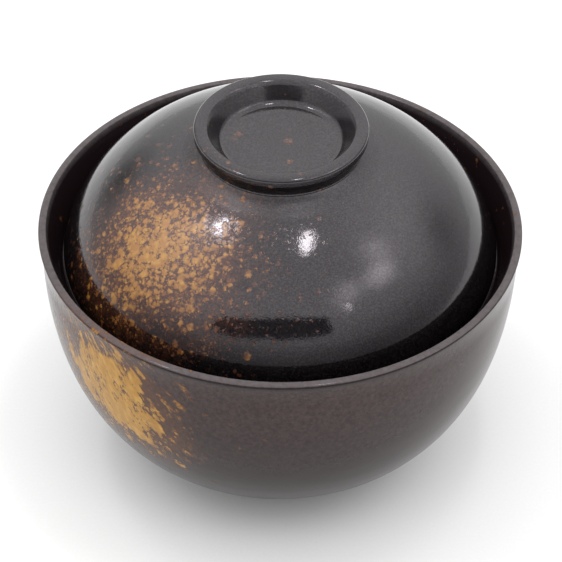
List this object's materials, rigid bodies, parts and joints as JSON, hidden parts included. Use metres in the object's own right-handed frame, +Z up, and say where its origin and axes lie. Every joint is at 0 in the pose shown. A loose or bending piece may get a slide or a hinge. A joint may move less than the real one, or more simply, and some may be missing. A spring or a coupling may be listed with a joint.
{
  "type": "donburi bowl with lid",
  "caption": "Deep round stoneware donburi bowl on a foot ring, with a domed lid that drops inside the rim and is lifted by a ring that doubles as its foot.",
  "frame": {"origin": "centre of the foot ring's underside, on the surface that the bowl stands on", "axes": "+Z up along the axis that the bowl and the lid share; -Y towards the side that the picture was taken from; +X to the right in the picture"},
  "size_m": [0.155, 0.155, 0.1275],
  "materials": {
    "bowl_glaze": "satin brown-black iron glaze with a patch of amber spatter",
    "lid_glaze": "glossy graphite-black iron glaze with a patch of amber spatter",
    "bare_clay": "matte unglazed stoneware"
  },
  "bodies": {
    "bowl": {"bowl_body": "bowl_glaze", "bowl_foot_ring": "bare_clay"},
    "lid": {"lid_dome": "lid_glaze", "lid_grip_ring": "lid_glaze"}
  },
  "joints": [
    {"name": "lid_lift", "type": "slide", "parent": "bowl", "child": "lid", "axis": [0, 0, 1], "range_m": [0, 0.1]}
  ]
}
